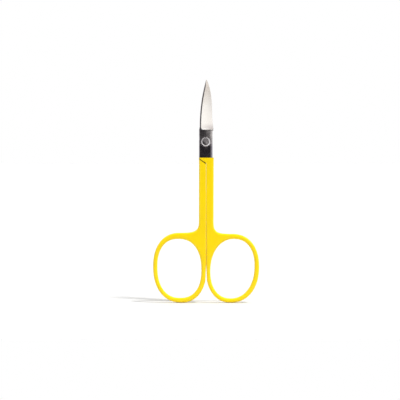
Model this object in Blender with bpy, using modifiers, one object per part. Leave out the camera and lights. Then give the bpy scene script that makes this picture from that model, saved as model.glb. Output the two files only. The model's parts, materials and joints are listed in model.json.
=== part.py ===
"""Small curved thread scissors with coated finger rings.

Two forged steel halves cross at a lap joint and turn on a slotted pivot screw.
Each half has a curved blade, a flat lap, a shank and a finger ring; its handle
is covered by a thin yellow coating.  The scissors stand on their rings, blades
up: +Z runs along the length to the tips, +X is to the right and the screw head
faces -Y.  All lengths below are in millimetres and are scaled to metres once.
"""
import math

import bmesh
import bpy
from mathutils import Matrix, Vector

MM = 0.001

# ----------------------------------------------------------------- overall
LENGTH = 90.0            # ring bottoms to blade tips
LAP_Y = 0.633            # plane between the two halves at the lap joint
SLIDE_GAP = 0.06         # running gap between the halves, across the lap plane
PARTING_GAP = 0.08       # gap between the two shanks when closed
PARTING_OPEN_Z = 15.5    # below this the rings draw apart ...
PARTING_SLOPE = 0.045    # ... by this much on each side per unit of height
PIVOT_X = -0.15
PIVOT_Z = 65.05

# ------------------------------------------------------------------- blades
BLADE_ROOT_Z = 69.85     # top of the lap, where the ground bevel starts
PLUNGE = 0.75            # height over which the bevel runs out
SPINE_THICK = 1.27       # blade thickness at the root
TIP_THICK = 0.42
EDGE_THICK = 0.09        # cutting edge
SPINE_STRIP = 0.52       # unground strip along the spine
BEND_START = 6.0         # distance from the pivot where the blades start to curve
BEND_TIP = 2.40          # how far the tips stand out of the lap plane
LAP_LEFT = -2.85
LAP_RIGHT = 2.56
BLADE_LEFT = -2.60       # the blade stands a little inside the lap on the left
HEEL_RIGHT = 2.91        # the heel of the edge stands proud of the lap on the right
HEEL_FLARE = 0.44

# ------------------------------------------------------------------ handles
COAT_TOP_Z = 58.55       # upper edge of the coating
COAT_THICK = 0.25
COAT_CLEAR = 0.03        # between the coating and the steel inside it
SHANK_HALF_Y = 1.55      # half thickness of the coated shank
RING_HALF_Y = 1.05       # half thickness of the coated ring
TAPER_TOP_Z = 42.0       # the handle thins from here ...
TAPER_END_Z = 27.0       # ... down to here
EDGE_ROUND = 0.60        # rounding of the coated outline
SHOULDER_OUT_Z = 58.20   # stop shoulder at the outer side of the shank
SHOULDER_IN_Z = 56.30    # stop shoulder at the parting line
SHOULDER_GAP = 0.14
RING_STEPS = 44          # points round a finger ring
FLARE_STEPS = 8

# One set of handle dimensions for each half, measured outward from the parting line.
# Rings and holes are full ovals: a power of 2 is an ellipse, more is squarer.
FRONT_HANDLE = dict(
    shank_top=3.06, shank_low=3.00, steel_out=2.56,
    ring=dict(x=10.22, z=13.92, a=11.16, a_in=10.28, b=13.90, lean=0.39, power=2.22),
    hole=dict(x=10.61, z=13.75, a=8.84, a_in=8.84, b=12.01, lean=0.70, power=2.19),
    flare_x=3.70, flare_z=28.90)
BACK_HANDLE = dict(
    shank_top=2.88, shank_low=2.92, steel_out=2.60,
    ring=dict(x=10.32, z=14.14, a=11.06, a_in=10.46, b=14.12, lean=0.30, power=2.25),
    hole=dict(x=10.78, z=13.86, a=8.81, a_in=8.81, b=11.90, lean=0.35, power=2.33),
    flare_x=3.90, flare_z=29.30)

# -------------------------------------------------------------- pivot screw
SHAFT_R = 1.00
SHAFT_CLEAR = 0.05
HEAD_R = 1.82
HEAD_SEAT = 0.45         # depth of the head's seat in the front lap
HEAD_RISE = 0.38         # how far the head stands out of the front lap
SEAT_CLEAR = 0.08
TAIL_R = 1.35            # peened end in the back lap
TAIL_SEAT = 0.35
SLOT_WIDE = 0.46
SLOT_DEEP = 0.36
SLOT_ANGLE = 38.0
ROUND_STEPS = 40

YELLOW = (0.95, 0.66, 0.012, 1.0)
STEEL = (0.56, 0.55, 0.54, 1.0)
SCREW_STEEL = (0.62, 0.60, 0.60, 1.0)


# ------------------------------------------------------------------ helpers
def clear_scene():
    for ob in list(bpy.data.objects):
        bpy.data.objects.remove(ob, do_unlink=True)


def collection(name):
    col = bpy.data.collections.new(name)
    bpy.context.scene.collection.children.link(col)
    return col


def material(name, colour, metallic, roughness):
    mat = bpy.data.materials.new(name)
    mat.use_nodes = True
    shader = mat.node_tree.nodes["Principled BSDF"]
    shader.inputs["Base Color"].default_value = colour
    shader.inputs["Metallic"].default_value = metallic
    shader.inputs["Roughness"].default_value = roughness
    mat.diffuse_color = colour
    return mat


def object_from_bmesh(name, bm, col):
    bmesh.ops.recalc_face_normals(bm, faces=bm.faces)
    mesh = bpy.data.meshes.new(name)
    bm.to_mesh(mesh)
    bm.free()
    ob = bpy.data.objects.new(name, mesh)
    col.objects.link(ob)
    return ob


def as_cutter(ob):
    ob.hide_render = True
    ob.display_type = 'WIRE'
    return ob


def boolean(target, other, operation):
    mod = target.modifiers.new(operation.title() + "_" + other.name, 'BOOLEAN')
    mod.operation = operation
    mod.solver = 'EXACT'
    mod.object = other
    return mod


def plate(name, outlines, half_y, rounding, col):
    """A flat outline, with its holes, as an extruded body with rounded edges."""
    curve = bpy.data.curves.new(name, 'CURVE')
    curve.dimensions = '2D'
    curve.fill_mode = 'BOTH'
    curve.extrude = (half_y - rounding) * MM
    curve.bevel_depth = rounding * MM
    curve.bevel_resolution = 1
    curve.offset = -rounding * MM
    for points in outlines:
        spline = curve.splines.new('POLY')
        spline.points.add(len(points) - 1)
        for point, (x, z) in zip(spline.points, points):
            point.co = (x * MM, z * MM, 0.0, 1.0)
        spline.use_cyclic_u = True
    ob = bpy.data.objects.new(name + "_outline", curve)
    col.objects.link(ob)
    bpy.context.view_layer.update()
    depsgraph = bpy.context.evaluated_depsgraph_get()
    mesh = bpy.data.meshes.new_from_object(ob.evaluated_get(depsgraph))
    bpy.data.objects.remove(ob, do_unlink=True)
    bm = bmesh.new()
    bm.from_mesh(mesh)
    bpy.data.meshes.remove(mesh)
    bmesh.ops.remove_doubles(bm, verts=bm.verts, dist=1e-6)
    # the outline was drawn in its own XY plane: stand it up in XZ
    bmesh.ops.transform(bm, matrix=Matrix.Rotation(math.radians(90.0), 4, 'X'), verts=bm.verts)
    return bm


def slice_z(bm, heights):
    for z in heights:
        bmesh.ops.bisect_plane(
            bm, geom=bm.verts[:] + bm.edges[:] + bm.faces[:], dist=1e-7,
            plane_co=(0.0, 0.0, z * MM), plane_no=(0.0, 0.0, 1.0))


def prism(name, points, y0, y1, col):
    """A straight-sided prism on an outline in XZ, between two planes in Y."""
    bm = bmesh.new()
    verts = [bm.verts.new((x * MM, y0 * MM, z * MM)) for x, z in points]
    face = bm.faces.new(verts)
    extruded = bmesh.ops.extrude_face_region(bm, geom=[face])
    moved = [g for g in extruded["geom"] if isinstance(g, bmesh.types.BMVert)]
    bmesh.ops.translate(bm, verts=moved, vec=(0.0, (y1 - y0) * MM, 0.0))
    return object_from_bmesh(name, bm, col)


def cylinder_y(name, radius, y0, y1, col, segments=ROUND_STEPS):
    """A straight cylinder on the pivot axis."""
    bm = bmesh.new()
    bmesh.ops.create_cone(
        bm, cap_ends=True, segments=segments, radius1=radius * MM, radius2=radius * MM,
        depth=(y1 - y0) * MM,
        matrix=Matrix.Translation((PIVOT_X * MM, 0.5 * (y0 + y1) * MM, PIVOT_Z * MM))
        @ Matrix.Rotation(math.radians(90.0), 4, 'X'))
    return object_from_bmesh(name, bm, col)


# ------------------------------------------------------------ handle outline
def oval(o, grow, t):
    """Point of a full oval; its half width differs on the outer and the inner side."""
    c, s = math.cos(t), math.sin(t)
    p = 2.0 / o["power"]
    a = (o["a"] if c > 0.0 else o["a_in"]) + grow
    return (o["x"] + a * math.copysign(abs(c) ** p, c) + o["lean"] * s,
            o["z"] + (o["b"] + grow) * math.copysign(abs(s) ** p, s))


def parting(z):
    """Half of the gap between the two handles."""
    return 0.5 * PARTING_GAP + PARTING_SLOPE * max(0.0, PARTING_OPEN_Z - z)


def bezier(p0, p1, p2, p3, t):
    u = 1.0 - t
    return tuple(u ** 3 * a + 3 * u * u * t * b + 3 * u * t * t * c + t ** 3 * d
                 for a, b, c, d in zip(p0, p1, p2, p3))


def handle_outline(h, inset, top, outer_top=None):
    """Shank and ring outline of one handle, drawn on the +X side."""
    inner = 0.5 * PARTING_GAP + inset
    shank_top = h["shank_top"] - inset if outer_top is None else outer_top
    shank_low = min(h["shank_low"] - inset, shank_top)
    start, end = math.radians(183.0), math.radians(360.0 + 92.0)
    ring = [oval(h["ring"], -inset, start + (end - start) * i / RING_STEPS)
            for i in range(RING_STEPS + 1)]
    ring = [(max(x, parting(z) + inset), z) for x, z in ring]
    p0 = ring[-1]
    p3 = (shank_low, 33.0)
    flare = [bezier(p0, (h["flare_x"], p0[1]), (p3[0], h["flare_z"] - inset), p3, i / FLARE_STEPS)
             for i in range(1, FLARE_STEPS + 1)]
    side = [(shank_top, COAT_TOP_Z - 4.0), (shank_top, top)]
    inside = [(inner, top), (inner, 30.0), (inner, PARTING_OPEN_Z)]
    return inside + ring + flare + side


def hole_outline(h, inset):
    """Finger hole, wound the other way from the handle outline."""
    return [oval(h["hole"], inset, -2.0 * math.pi * i / RING_STEPS) for i in range(RING_STEPS)]


def half_y_at(z, inset):
    t = min(1.0, max(0.0, (TAPER_TOP_Z - z) / (TAPER_TOP_Z - TAPER_END_Z)))
    return SHANK_HALF_Y + (RING_HALF_Y - SHANK_HALF_Y) * t - inset


def half_turn(bm, side):
    """side +1 keeps the front half as drawn; -1 turns it half round +Z for the back half."""
    if side < 0:
        bmesh.ops.transform(bm, matrix=Matrix.Rotation(math.pi, 4, 'Z'), verts=bm.verts)


def handle_body(name, h, side, inset, top, col, outer_top=None):
    """Solid of shank and ring at a given inset from the coated surface."""
    full = SHANK_HALF_Y - inset
    rounding = EDGE_ROUND - inset
    bm = plate(name, [handle_outline(h, inset, top, outer_top), hole_outline(h, inset)],
               full, rounding, col)
    slice_z(bm, (TAPER_TOP_Z, TAPER_END_Z))
    for v in bm.verts:
        v.co.y *= half_y_at(v.co.z / MM, inset) / full
    half_turn(bm, side)
    bmesh.ops.translate(bm, verts=bm.verts, vec=(0.0, LAP_Y * MM, 0.0))
    return object_from_bmesh(name, bm, col)


def placed_prism(name, points, near, far, side, col):
    """Prism for the front half; turned half round for the back half.  near and far are
    measured from the lap plane, positive toward the half's own outer face."""
    pts = [(side * x, z) for x, z in points]
    return prism(name, pts, LAP_Y - side * near, LAP_Y - side * far, col)


def lap_foot(name, h, side, inset, top, near, far, col):
    """Lower end of the lap: it crosses to the other shank and ends on the stop shoulder."""
    other = 2.88 if side > 0 else 3.06
    out_z = SHOULDER_OUT_Z + SHOULDER_GAP * 0.5 + inset
    in_z = SHOULDER_IN_Z + SHOULDER_GAP * 0.5 + inset
    pts = [(-other + inset, top), (-other + inset, out_z), (-0.10, in_z),
           (1.6, in_z), (1.6, top)]
    return placed_prism(name, pts, near, far, side, col)


def shoulder_cut(name, side, margin, near, col):
    """Space above the stop shoulder, taken up by the other half's lap."""
    pts = [(-1.2, SHOULDER_IN_Z - SHOULDER_GAP * 0.5 - margin),
           (0.10, SHOULDER_IN_Z - SHOULDER_GAP * 0.5 - margin),
           (3.02, SHOULDER_OUT_Z - SHOULDER_GAP * 0.5 - margin + 0.05),
           (4.2, SHOULDER_OUT_Z - SHOULDER_GAP * 0.5 - margin + 0.85),
           (4.2, 62.0), (-1.2, 62.0)]
    return placed_prism(name, pts, near, -3.0, side, col)


# --------------------------------------------------------------------- blade
def blade_left(z):
    """Outline on the left, from the lap to the tip."""
    t = max(0.0, (z - BLADE_ROOT_Z) / (LENGTH - BLADE_ROOT_Z))
    step = max(0.0, 1.0 - (z - BLADE_ROOT_Z) / 1.5) ** 2
    return BLADE_LEFT + (0.02 - BLADE_LEFT) * t ** 2.24 + (LAP_LEFT - BLADE_LEFT) * step


def blade_right(z):
    t = min(1.0, max(0.0, (LENGTH - z) / (LENGTH - BLADE_ROOT_Z)))
    flare = max(0.0, (BLADE_ROOT_Z + 5.15 - z) / 5.15) ** 1.3
    return 0.14 + (HEEL_RIGHT - HEEL_FLARE - 0.14) * (1.0 - (1.0 - t) ** 4.2) + HEEL_FLARE * flare


def bend(x, z):
    """The sliding faces are turned about the pivot axis, so they stay together as they open."""
    r = math.hypot(x - PIVOT_X, z - PIVOT_Z)
    reach = LENGTH - PIVOT_Z - BEND_START
    return BEND_TIP * (max(0.0, r - BEND_START) / reach) ** 2


def blade_sections(front):
    """Heights, widths and thicknesses from the coating up to the tip."""
    rows = [(COAT_TOP_Z + 0.05, LAP_LEFT, LAP_RIGHT, 0.0), (63.0, LAP_LEFT, LAP_RIGHT, 0.0),
            (67.0, LAP_LEFT, LAP_RIGHT, 0.0), (BLADE_ROOT_Z - 0.15, LAP_LEFT, LAP_RIGHT, 0.0),
            (BLADE_ROOT_Z, LAP_LEFT, HEEL_RIGHT, 0.0)]
    first = BLADE_ROOT_Z + PLUNGE
    steps = 17
    for i in range(steps + 1):
        z = first + (LENGTH - 0.02 - first) * (1.0 - (1.0 - i / steps) ** 1.15)
        rows.append((z, blade_left(z), blade_right(z), 1.0))
    if not front:
        # the back blade lies just inside the front blade's outline
        rows = [(z if z < 89 else z - 0.35,
                 a + (0.10 if ground else 0.06), b - (0.10 if ground else 0.03), ground)
                for z, a, b, ground in rows]
    return rows


def blade(name, front, col):
    """Lap and blade as one loft; the spine is on the left of the front half and on the
    right of the back half."""
    out = -1.0 if front else 1.0
    rings = []
    bm = bmesh.new()
    for z, left, right, ground in blade_sections(front):
        spine, edge = (left, right) if front else (right, left)
        width = edge - spine
        rise = max(0.0, (z - BLADE_ROOT_Z) / (LENGTH - BLADE_ROOT_Z))
        thick = SPINE_THICK + (TIP_THICK - SPINE_THICK) * rise ** 1.2
        strip = min(SPINE_STRIP, 0.30 * abs(width)) / abs(width)
        at_edge = EDGE_THICK if ground else SPINE_THICK
        section = []
        for share in (0.0, strip, strip + (1 - strip) / 3, strip + (1 - strip) * 2 / 3, 1.0):
            fall = 0.0 if share <= strip else (share - strip) / (1 - strip)
            section.append((spine + share * width, thick + (at_edge - thick) * fall))
        for share in (1.0, 0.75, 0.5, 0.25, 0.0):
            section.append((spine + share * width, 0.5 * SLIDE_GAP))
        row = []
        for x, depth in section:
            y = LAP_Y + out * depth - bend(x, z)
            row.append(bm.verts.new((x * MM, y * MM, z * MM)))
        rings.append(row)
    n = len(rings[0])
    for low, high in zip(rings, rings[1:]):
        for i in range(n):
            j = (i + 1) % n
            bm.faces.new((low[i], low[j], high[j], high[i]))
    bm.faces.new(rings[0])
    bm.faces.new(rings[-1])
    bmesh.ops.triangulate(bm, faces=bm.faces)
    return object_from_bmesh(name, bm, col)


# --------------------------------------------------------------------- halves
def steel_half(name, h, front, parts, cutters, mat):
    side = 1 if front else -1
    inset = COAT_THICK + COAT_CLEAR
    core_top = COAT_TOP_Z + 0.9
    steel = blade(name, front, parts)
    core = as_cutter(handle_body(name + "_tang", h, side, inset, COAT_TOP_Z - 0.35, cutters,
                                 outer_top=h["steel_out"]))
    foot = as_cutter(lap_foot(name + "_foot", h, side, inset, core_top,
                              0.5 * SLIDE_GAP, SPINE_THICK - 0.02, cutters))
    cut = as_cutter(shoulder_cut(name + "_shoulder", side, inset, 0.5 * SLIDE_GAP, cutters))
    boolean(core, cut, 'DIFFERENCE')
    boolean(steel, foot, 'UNION')
    boolean(steel, core, 'UNION')
    y = LAP_Y - side * SPINE_THICK
    bore = as_cutter(cylinder_y(name + "_bore", SHAFT_R + SHAFT_CLEAR, LAP_Y - 4, LAP_Y + 4,
                                cutters))
    boolean(steel, bore, 'DIFFERENCE')
    if front:
        seat = cylinder_y(name + "_seat", HEAD_R + SEAT_CLEAR, y - 2.0, y + HEAD_SEAT, cutters)
    else:
        seat = cylinder_y(name + "_seat", TAIL_R + SEAT_CLEAR, y - TAIL_SEAT, y + 2.0, cutters)
    boolean(steel, as_cutter(seat), 'DIFFERENCE')
    steel.data.materials.append(mat)
    return steel


def coat_half(name, h, front, parts, cutters, mat):
    side = 1 if front else -1
    skin = handle_body(name, h, side, 0.0, COAT_TOP_Z, parts)
    foot = as_cutter(lap_foot(name + "_foot", h, side, 0.0, COAT_TOP_Z - 0.01,
                              0.5 * SLIDE_GAP, SHANK_HALF_Y - 0.02, cutters))
    cut = as_cutter(shoulder_cut(name + "_shoulder", side, 0.0, 0.5 * SLIDE_GAP, cutters))
    boolean(skin, foot, 'UNION')
    boolean(skin, cut, 'DIFFERENCE')
    hollow = as_cutter(handle_body(name + "_hollow", h, side, COAT_THICK, COAT_TOP_Z + 1.2,
                                   cutters, outer_top=h["steel_out"] + COAT_CLEAR))
    inner_cut = as_cutter(shoulder_cut(name + "_inner_shoulder", side, COAT_THICK,
                                       0.5 * SLIDE_GAP - 0.12, cutters))
    inner_foot = as_cutter(lap_foot(name + "_inner_foot", h, side, COAT_THICK, COAT_TOP_Z + 1.1,
                                    0.5 * SLIDE_GAP - 0.10, SPINE_THICK + COAT_CLEAR - 0.01,
                                    cutters))
    boolean(hollow, inner_cut, 'DIFFERENCE')
    boolean(hollow, inner_foot, 'UNION')
    boolean(skin, hollow, 'DIFFERENCE')
    skin.data.materials.append(mat)
    return skin


# ---------------------------------------------------------------------- screw
def pivot_screw(name, parts, cutters, mat):
    """Turned on +Z from a half profile, then laid on the pivot axis with its head at -Y."""
    face = SPINE_THICK                       # front lap's outer face, from the lap plane
    top = face + HEAD_RISE
    seat = face - HEAD_SEAT + 0.03
    tail_in = -(SPINE_THICK - TAIL_SEAT + 0.03)
    tail = -(SPINE_THICK + 0.06)
    profile = [(0.0, top - 0.05), (0.80, top - 0.08), (1.12, top - 0.16), (1.22, top - 0.26),
               (1.34, top - 0.26), (1.44, top - 0.10), (1.58, top - 0.02), (1.72, top - 0.08),
               (HEAD_R, top - 0.24), (HEAD_R, seat), (SHAFT_R, seat), (SHAFT_R, tail_in),
               (TAIL_R, tail_in), (TAIL_R, tail + 0.14), (TAIL_R - 0.25, tail + 0.03),
               (0.0, tail)]
    mesh = bpy.data.meshes.new(name)
    mesh.from_pydata([(r * MM, 0.0, z * MM) for r, z in profile],
                     [(i, i + 1) for i in range(len(profile) - 1)], [])
    ob = bpy.data.objects.new(name, mesh)
    parts.objects.link(ob)
    turn = ob.modifiers.new("Turn", 'SCREW')
    turn.axis = 'Z'
    turn.angle = 2.0 * math.pi
    turn.steps = turn.render_steps = ROUND_STEPS
    turn.use_merge_vertices = True
    turn.merge_threshold = 0.000001
    ob.rotation_euler = (math.radians(90.0), 0.0, 0.0)
    ob.location = (PIVOT_X * MM, LAP_Y * MM, PIVOT_Z * MM)
    bm = bmesh.new()
    bmesh.ops.create_cube(bm, size=1.0)
    bmesh.ops.scale(bm, vec=(6.0 * MM, 1.0 * MM, SLOT_WIDE * MM), verts=bm.verts)
    bmesh.ops.rotate(bm, cent=(0, 0, 0), verts=bm.verts,
                     matrix=Matrix.Rotation(math.radians(-SLOT_ANGLE), 3, 'Y'))
    bmesh.ops.translate(bm, verts=bm.verts, vec=(
        PIVOT_X * MM, (LAP_Y - top + SLOT_DEEP - 0.5) * MM, PIVOT_Z * MM))
    slot = as_cutter(object_from_bmesh(name + "_slot", bm, cutters))
    boolean(ob, slot, 'DIFFERENCE')
    mesh.materials.append(mat)
    return ob


def rest_on(ob, parent):
    """Parent without moving, so that the piece turns with the pivot axis."""
    bpy.context.view_layer.update()
    ob.parent = parent
    ob.matrix_parent_inverse = parent.matrix_world.inverted()


def smooth(ob, angle):
    ob.data.shade_smooth()
    ob.data.set_sharp_from_angle(angle=math.radians(angle))


def main():
    clear_scene()
    parts = collection("thread_scissors")
    cutters = collection("cutters")
    steel = material("forged_steel", STEEL, 1.0, 0.22)
    steel_back = material("forged_steel_back", STEEL, 1.0, 0.22)
    coat = material("yellow_coating_front", YELLOW, 0.0, 0.30)
    coat_back = material("yellow_coating_back", YELLOW, 0.0, 0.30)
    screw_steel = material("screw_steel", SCREW_STEEL, 1.0, 0.20)

    axis = bpy.data.objects.new("pivot_axis", None)
    axis.location = (PIVOT_X * MM, LAP_Y * MM, PIVOT_Z * MM)
    parts.objects.link(axis)

    front = steel_half("front_half_steel", FRONT_HANDLE, True, parts, cutters, steel)
    back = steel_half("back_half_steel", BACK_HANDLE, False, parts, cutters, steel_back)
    front_coat = coat_half("front_handle_coating", FRONT_HANDLE, True, parts, cutters, coat)
    back_coat = coat_half("back_handle_coating", BACK_HANDLE, False, parts, cutters, coat_back)
    screw = pivot_screw("pivot_screw", parts, cutters, screw_steel)
    for ob in (front, front_coat):
        rest_on(ob, axis)
    for ob in (front, back, front_coat, back_coat):
        smooth(ob, 40.0)
    smooth(screw, 35.0)


main()
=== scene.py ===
import json
import math

import bmesh
import bpy
from mathutils import Matrix, Vector


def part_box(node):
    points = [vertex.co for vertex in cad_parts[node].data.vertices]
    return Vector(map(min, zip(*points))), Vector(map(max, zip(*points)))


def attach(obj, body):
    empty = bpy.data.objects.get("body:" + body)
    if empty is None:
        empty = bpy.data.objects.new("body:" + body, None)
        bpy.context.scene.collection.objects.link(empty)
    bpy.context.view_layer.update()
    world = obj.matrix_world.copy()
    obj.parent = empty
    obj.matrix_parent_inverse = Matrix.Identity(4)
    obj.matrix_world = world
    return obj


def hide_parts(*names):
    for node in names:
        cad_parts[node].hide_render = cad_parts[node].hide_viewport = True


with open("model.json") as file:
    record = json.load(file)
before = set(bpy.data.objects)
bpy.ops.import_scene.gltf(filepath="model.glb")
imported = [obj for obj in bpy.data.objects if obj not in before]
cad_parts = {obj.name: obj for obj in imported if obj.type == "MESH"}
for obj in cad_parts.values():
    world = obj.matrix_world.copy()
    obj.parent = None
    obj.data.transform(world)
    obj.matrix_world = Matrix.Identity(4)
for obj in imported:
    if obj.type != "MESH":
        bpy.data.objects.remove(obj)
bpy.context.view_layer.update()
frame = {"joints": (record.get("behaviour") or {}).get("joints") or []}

# ---------------------------------------------------------------------------
# Frame: the pivot, the lap plane and the part sizes come from the imported part; the other lengths are given below.
# Lengths below are in mm.
# ---------------------------------------------------------------------------
MM = 0.001
JOINT = frame["joints"][0]
PIVOT_X, LAP_Y, PIVOT_Z = (c / MM for c in JOINT["pos_m"])


def node_box(name):
    lo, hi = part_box(name)
    return [c / MM for c in lo], [c / MM for c in hi]


F_LO, F_HI = node_box("front_handle_coating")
B_LO, B_HI = node_box("back_handle_coating")
S_LO, S_HI = node_box("front_half_steel")
T_LO, T_HI = node_box("back_half_steel")
SCREW_LO, SCREW_HI = node_box("pivot_screw")

LENGTH = S_HI[2] + 0.02
COAT_TOP = F_HI[2]
SHANK_T = F_HI[1] - LAP_Y            # half thickness over the coated shank
RING_T = SHANK_T - 0.50              # half thickness over the coated ring
STEEL_T = T_HI[1] - LAP_Y            # thickness of each half at the lap
LAP_LEFT = S_LO[0]
LAP_RIGHT = 2.56
BLADE_LEFT = -2.60
HEEL_RIGHT = 2.91
HEEL_FLARE = 0.44
RING_OUT = F_HI[0]
FOOT_FRONT = -F_LO[0]                # how far the front lap foot reaches past the parting line
FOOT_BACK = B_HI[0]

SLIDE = 0.06                         # gap between the sliding faces
PART = 0.08                          # gap between the shanks
BLADE_ROOT = 69.85
BEND_START = 6.0
BEND_TIP = 2.40
SHOULDER_OUT, SHOULDER_IN, SHOULDER_GAP = 58.16, 56.26, 0.25
TAPER_TOP, TAPER_END = 42.0, 27.0
PART_OPEN_Z, PART_SLOPE = 15.5, 0.045

# Handle sizes, measured outward from the parting line.  A ring or hole is a full oval:
# centre x and z, outer and inner half width, half height, lean, power.
FRONT = dict(
    side=1, shank_top=B_HI[0], shank_low=3.00, other=FOOT_FRONT,
    ring=(10.22, 13.92, 11.16, 10.28, 13.90, 0.39, 2.22),
    hole=(10.61, 13.75, 8.84, 8.84, 12.01, 0.70, 2.19),
    flare=(3.70, 28.90))
BACK = dict(
    side=-1, shank_top=-F_LO[0], shank_low=2.92, other=FOOT_BACK,
    ring=(10.32, 14.14, 11.06, 10.46, 14.12, 0.30, 2.25),
    hole=(10.78, 13.86, 8.81, 8.81, 11.90, 0.35, 2.33),
    flare=(3.90, 29.30))


# ---------------------------------------------------------------------------
# Small helpers
# ---------------------------------------------------------------------------
def smoothstep(a, b, x):
    t = min(1.0, max(0.0, (x - a) / (b - a)))
    return t * t * (3.0 - 2.0 * t)


def lerp(a, b, t):
    return a + (b - a) * t


def new_object(name, bm, mats=()):
    bmesh.ops.recalc_face_normals(bm, faces=bm.faces)
    if bm.calc_volume(signed=True) < 0.0:
        bmesh.ops.reverse_faces(bm, faces=bm.faces)
    mesh = bpy.data.meshes.new(name)
    bm.to_mesh(mesh)
    bm.free()
    for m in mats:
        mesh.materials.append(m)
    ob = bpy.data.objects.new(name, mesh)
    bpy.context.scene.collection.objects.link(ob)
    return ob


def apply_modifiers(ob):
    bpy.context.view_layer.update()
    dg = bpy.context.evaluated_depsgraph_get()
    mesh = bpy.data.meshes.new_from_object(ob.evaluated_get(dg), preserve_all_data_layers=True,
                                           depsgraph=dg)
    old = ob.data
    ob.modifiers.clear()
    ob.data = mesh
    bpy.data.meshes.remove(old)
    return ob


def combine(target, tool, operation):
    """Exact Boolean, applied at once; the tool is removed."""
    mod = target.modifiers.new(operation, 'BOOLEAN')
    mod.operation = operation
    mod.solver = 'EXACT'
    mod.object = tool
    apply_modifiers(target)
    mesh = tool.data
    bpy.data.objects.remove(tool, do_unlink=True)
    bpy.data.meshes.remove(mesh)
    return target


def smooth(ob, angle):
    ob.data.shade_smooth()
    ob.data.set_sharp_from_angle(angle=math.radians(angle))
    return ob


# ---------------------------------------------------------------------------
# Handle: shank, flare and finger ring, with the lap foot on the front layer
# ---------------------------------------------------------------------------
def oval(cx, cz, a_out, a_in, b, lean, power, t):
    c, s = math.cos(t), math.sin(t)
    p = 2.0 / power
    a = a_out if c > 0.0 else a_in
    return (cx + a * math.copysign(abs(c) ** p, c) + lean * s,
            cz + b * math.copysign(abs(s) ** p, s))


def parting(z):
    """Half of the gap between the two handles; the coats all but touch along the shanks."""
    gap = lerp(0.012, 0.026, smoothstep(43.0, 47.0, z))
    return gap + PART_SLOPE * max(0.0, PART_OPEN_Z - z)


def bezier(p0, p1, p2, p3, t):
    u = 1.0 - t
    return tuple(u ** 3 * a + 3 * u * u * t * b + 3 * u * t * t * c + t ** 3 * d
                 for a, b, c, d in zip(p0, p1, p2, p3))


def line(p, q, step):
    n = max(1, round(math.hypot(q[0] - p[0], q[1] - p[1]) / step))
    return [(lerp(p[0], q[0], i / n), lerp(p[1], q[1], i / n)) for i in range(1, n + 1)]


def corner(p, before, after, r, n=5):
    """Arc of radius about r in place of a corner point."""
    def unit(a, b):
        d = math.hypot(b[0] - a[0], b[1] - a[1])
        return ((b[0] - a[0]) / d, (b[1] - a[1]) / d)
    u, v = unit(p, before), unit(p, after)
    a = (p[0] + u[0] * r, p[1] + u[1] * r)
    b = (p[0] + v[0] * r, p[1] + v[1] * r)
    return [bezier(a, lerp2(a, p, 0.56), lerp2(b, p, 0.56), b, i / n) for i in range(n + 1)]


def lerp2(a, b, t):
    return (lerp(a[0], b[0], t), lerp(a[1], b[1], t))


def half_t(z, inset):
    return lerp(RING_T, SHANK_T, smoothstep(TAPER_END, TAPER_TOP, z)) - inset


def nearest(p, pts):
    best = 9e9
    for (x1, z1), (x2, z2) in zip(pts, pts[1:] + pts[:1]):
        dx, dz = x2 - x1, z2 - z1
        q = dx * dx + dz * dz
        t = 0.0 if q == 0 else min(1.0, max(0.0, ((p[0] - x1) * dx + (p[1] - z1) * dz) / q))
        best = min(best, math.hypot(p[0] - x1 - dx * t, p[1] - z1 - dz * t))
    return best


def inward(pts, i, closed=True):
    """Unit inward direction of a counter-clockwise path at point i, lengthened at corners."""
    n = len(pts)
    a, b, c = pts[(i - 1) % n], pts[i], pts[(i + 1) % n]
    if not closed and i == 0:
        a = (2 * b[0] - c[0], 2 * b[1] - c[1])
    if not closed and i == n - 1:
        c = (2 * b[0] - a[0], 2 * b[1] - a[1])
    e1 = (b[0] - a[0], b[1] - a[1])
    e2 = (c[0] - b[0], c[1] - b[1])
    l1, l2 = math.hypot(*e1) or 1e-9, math.hypot(*e2) or 1e-9
    n1, n2 = (-e1[1] / l1, e1[0] / l1), (-e2[1] / l2, e2[0] / l2)
    m = (n1[0] + n2[0], n1[1] + n2[1])
    d = math.hypot(*m) or 1e-9
    m = (m[0] / d, m[1] / d)
    k = max(0.55, m[0] * n1[0] + m[1] * n1[1])
    return (m[0] / k, m[1] / k)


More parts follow.
